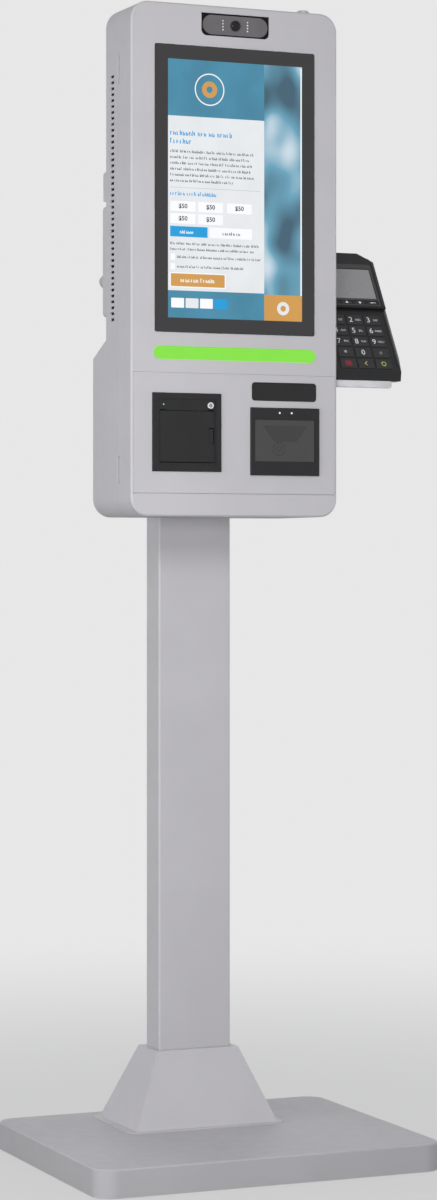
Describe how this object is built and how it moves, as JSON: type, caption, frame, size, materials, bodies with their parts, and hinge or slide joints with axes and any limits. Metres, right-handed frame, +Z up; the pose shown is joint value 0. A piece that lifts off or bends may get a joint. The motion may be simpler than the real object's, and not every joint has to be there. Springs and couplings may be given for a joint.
{
  "type": "donation kiosk",
  "caption": "Floor-standing kiosk with a touch screen, receipt printer, scanner and camera in a hinged steel head on a column and base, with a card terminal at its side.",
  "frame": {"origin": "middle of the underside of the base, on the floor", "axes": "+X to the right seen from the front, the screen faces -Y, +Z up"},
  "size_m": [0.5154, 0.404, 1.563],
  "materials": {
    "housing_paint": "powder coat",
    "bracket_paint": "powder coat",
    "cap_plastic": "matte",
    "floor_rubber": "matte",
    "ballast_steel": "primer",
    "zinc_steel": "zinc plated",
    "module_aluminium": "satin",
    "terminal_plastic": "fine grain",
    "screen_glass": "gloss",
    "light_green": "translucent",
    "board_plastic": "satin",
    "trim_black": "matte",
    "trim_dark": "fine grain",
    "camera_grey": "satin",
    "lens_glass": "gloss",
    "lock_chrome": "polished",
    "button_white": "gloss",
    "paper": "matte paper",
    "platen_rubber": "matte",
    "window_dark": "gloss",
    "key_plastic": "matte"
  },
  "bodies": {
    "stand": {"base_cover": "housing_paint", "floor_pad": "floor_rubber", "ballast_plate": "ballast_steel", "column_foot_plate": "housing_paint", "column_post": "housing_paint", "column_top_cap": "cap_plastic", "column_shroud": "housing_paint", "frame_bolts": "zinc_steel", "rear_housing": "housing_paint", "hinge_rear_leaves": "zinc_steel", "hinge_pins": "zinc_steel", "computer_module": "module_aluminium", "power_supply": "module_aluminium", "terminal_bracket": "bracket_paint", "terminal_case": "terminal_plastic", "terminal_display": "screen_glass"},
    "front_door": {"front_housing": "housing_paint", "hinge_front_leaves": "zinc_steel", "touch_glass": "screen_glass", "lcd_module": "module_aluminium", "light_bar_lens": "light_green", "light_bar_board": "board_plastic", "camera_surround": "trim_black", "camera_faceplate": "camera_grey", "camera_lens": "lens_glass", "lower_front_panel": "housing_paint", "name_plate": "trim_dark", "lock_barrel": "lock_chrome", "printer_frame": "trim_dark", "printer_mechanism": "trim_black", "scanner_housing": "trim_dark", "scanner_window": "window_dark"},
    "door_lock": {"lock_cam": "lock_chrome"},
    "printer_lid": {"printer_lid": "trim_dark"},
    "platen": {"platen_roller": "platen_rubber"},
    "paper_roll": {"paper_roll": "paper"},
    "printer_lever": {"printer_lever": "trim_dark"},
    "feed_button": {"printer_feed_button": "button_white"},
    "service_cover": {"rear_service_cover": "housing_paint"},
    "service_knob": {"service_cover_knob": "trim_black"},
    "key_1": {"key_1": "key_plastic"},
    "key_2": {"key_2": "key_plastic"},
    "key_3": {"key_3": "key_plastic"},
    "key_4": {"key_4": "key_plastic"},
    "key_5": {"key_5": "key_plastic"},
    "key_6": {"key_6": "key_plastic"},
    "key_7": {"key_7": "key_plastic"},
    "key_8": {"key_8": "key_plastic"},
    "key_9": {"key_9": "key_plastic"},
    "key_left": {"key_left": "key_plastic"},
    "key_0": {"key_0": "key_plastic"},
    "key_right": {"key_right": "key_plastic"},
    "key_cancel": {"key_cancel": "key_plastic"},
    "key_clear": {"key_clear": "key_plastic"},
    "key_enter": {"key_enter": "key_plastic"},
    "soft_key_1": {"soft_key_1": "key_plastic"},
    "soft_key_2": {"soft_key_2": "key_plastic"},
    "soft_key_3": {"soft_key_3": "key_plastic"},
    "soft_key_4": {"soft_key_4": "key_plastic"}
  },
  "joints": [
    {"name": "front_door_hinge", "type": "hinge", "parent": "stand", "child": "front_door", "pos_m": [-0.14825, -0.0257, 1.2025], "axis": [0, 0, -1], "range_deg": [0, 100]},
    {"name": "door_lock_turn", "type": "hinge", "parent": "front_door", "child": "door_lock", "pos_m": [0.111, -0.045, 1.545], "axis": [0, 0, -1], "range_deg": [0, 90]},
    {"name": "printer_lid_hinge", "type": "hinge", "parent": "front_door", "child": "printer_lid", "pos_m": [-0.071, -0.0702, 0.9463], "axis": [1, 0, 0], "range_deg": [0, 70]},
    {"name": "platen_spin", "type": "hinge", "parent": "printer_lid", "child": "platen", "pos_m": [-0.071, -0.062, 1.006], "axis": [1, 0, 0], "continuous": true},
    {"name": "paper_roll_spin", "type": "hinge", "parent": "front_door", "child": "paper_roll", "pos_m": [-0.071, -0.03, 0.968], "axis": [1, 0, 0], "continuous": true},
    {"name": "printer_lever_pull", "type": "hinge", "parent": "front_door", "child": "printer_lever", "pos_m": [-0.0361, -0.0695, 0.9885], "axis": [-1, 0, 0], "range_deg": [0, 25], "stiffness_Nm_per_rad": 0.02, "springref_deg": -5.73},
    {"name": "feed_button_press", "type": "slide", "parent": "front_door", "child": "feed_button", "axis": [0, 1, 0], "range_m": [0, 0.001], "stiffness_N_per_m": 400, "springref_m": -0.0005},
    {"name": "service_cover_hinge", "type": "hinge", "parent": "stand", "child": "service_cover", "pos_m": [0.1426, 0.02355, 1.2178], "axis": [0, 0, -1], "range_deg": [0, 88]},
    {"name": "service_knob_turn", "type": "hinge", "parent": "service_cover", "child": "service_knob", "pos_m": [-0.1392, 0.035, 1.193], "axis": [0, -1, 0], "range_deg": [0, 90]},
    {"name": "key_1_press", "type": "slide", "parent": "stand", "child": "key_1", "axis": [0, 0.8572, -0.515], "range_m": [0, 0.0012], "stiffness_N_per_m": 600, "springref_m": -0.0005},
    {"name": "key_2_press", "type": "slide", "parent": "stand", "child": "key_2", "axis": [0, 0.8572, -0.515], "range_m": [0, 0.0012], "stiffness_N_per_m": 600, "springref_m": -0.0005},
    {"name": "key_3_press", "type": "slide", "parent": "stand", "child": "key_3", "axis": [0, 0.8572, -0.515], "range_m": [0, 0.0012], "stiffness_N_per_m": 600, "springref_m": -0.0005},
    {"name": "key_4_press", "type": "slide", "parent": "stand", "child": "key_4", "axis": [0, 0.8572, -0.515], "range_m": [0, 0.0012], "stiffness_N_per_m": 600, "springref_m": -0.0005},
    {"name": "key_5_press", "type": "slide", "parent": "stand", "child": "key_5", "axis": [0, 0.8572, -0.515], "range_m": [0, 0.0012], "stiffness_N_per_m": 600, "springref_m": -0.0005},
    {"name": "key_6_press", "type": "slide", "parent": "stand", "child": "key_6", "axis": [0, 0.8572, -0.515], "range_m": [0, 0.0012], "stiffness_N_per_m": 600, "springref_m": -0.0005},
    {"name": "key_7_press", "type": "slide", "parent": "stand", "child": "key_7", "axis": [0, 0.8572, -0.515], "range_m": [0, 0.0012], "stiffness_N_per_m": 600, "springref_m": -0.0005},
    {"name": "key_8_press", "type": "slide", "parent": "stand", "child": "key_8", "axis": [0, 0.8572, -0.515], "range_m": [0, 0.0012], "stiffness_N_per_m": 600, "springref_m": -0.0005},
    {"name": "key_9_press", "type": "slide", "parent": "stand", "child": "key_9", "axis": [0, 0.8572, -0.515], "range_m": [0, 0.0012], "stiffness_N_per_m": 600, "springref_m": -0.0005},
    {"name": "key_left_press", "type": "slide", "parent": "stand", "child": "key_left", "axis": [0, 0.8572, -0.515], "range_m": [0, 0.0012], "stiffness_N_per_m": 600, "springref_m": -0.0005},
    {"name": "key_0_press", "type": "slide", "parent": "stand", "child": "key_0", "axis": [0, 0.8572, -0.515], "range_m": [0, 0.0012], "stiffness_N_per_m": 600, "springref_m": -0.0005},
    {"name": "key_right_press", "type": "slide", "parent": "stand", "child": "key_right", "axis": [0, 0.8572, -0.515], "range_m": [0, 0.0012], "stiffness_N_per_m": 600, "springref_m": -0.0005},
    {"name": "key_cancel_press", "type": "slide", "parent": "stand", "child": "key_cancel", "axis": [0, 0.8572, -0.515], "range_m": [0, 0.0012], "stiffness_N_per_m": 600, "springref_m": -0.0005},
    {"name": "key_clear_press", "type": "slide", "parent": "stand", "child": "key_clear", "axis": [0, 0.8572, -0.515], "range_m": [0, 0.0012], "stiffness_N_per_m": 600, "springref_m": -0.0005},
    {"name": "key_enter_press", "type": "slide", "parent": "stand", "child": "key_enter", "axis": [0, 0.8572, -0.515], "range_m": [0, 0.0012], "stiffness_N_per_m": 600, "springref_m": -0.0005},
    {"name": "soft_key_1_press", "type": "slide", "parent": "stand", "child": "soft_key_1", "axis": [0, 0.8572, -0.515], "range_m": [0, 0.001], "stiffness_N_per_m": 400, "springref_m": -0.0005},
    {"name": "soft_key_2_press", "type": "slide", "parent": "stand", "child": "soft_key_2", "axis": [0, 0.8572, -0.515], "range_m": [0, 0.001], "stiffness_N_per_m": 400, "springref_m": -0.0005},
    {"name": "soft_key_3_press", "type": "slide", "parent": "stand", "child": "soft_key_3", "axis": [0, 0.8572, -0.515], "range_m": [0, 0.001], "stiffness_N_per_m": 400, "springref_m": -0.0005},
    {"name": "soft_key_4_press", "type": "slide", "parent": "stand", "child": "soft_key_4", "axis": [0, 0.8572, -0.515], "range_m": [0, 0.001], "stiffness_N_per_m": 400, "springref_m": -0.0005}
  ]
}
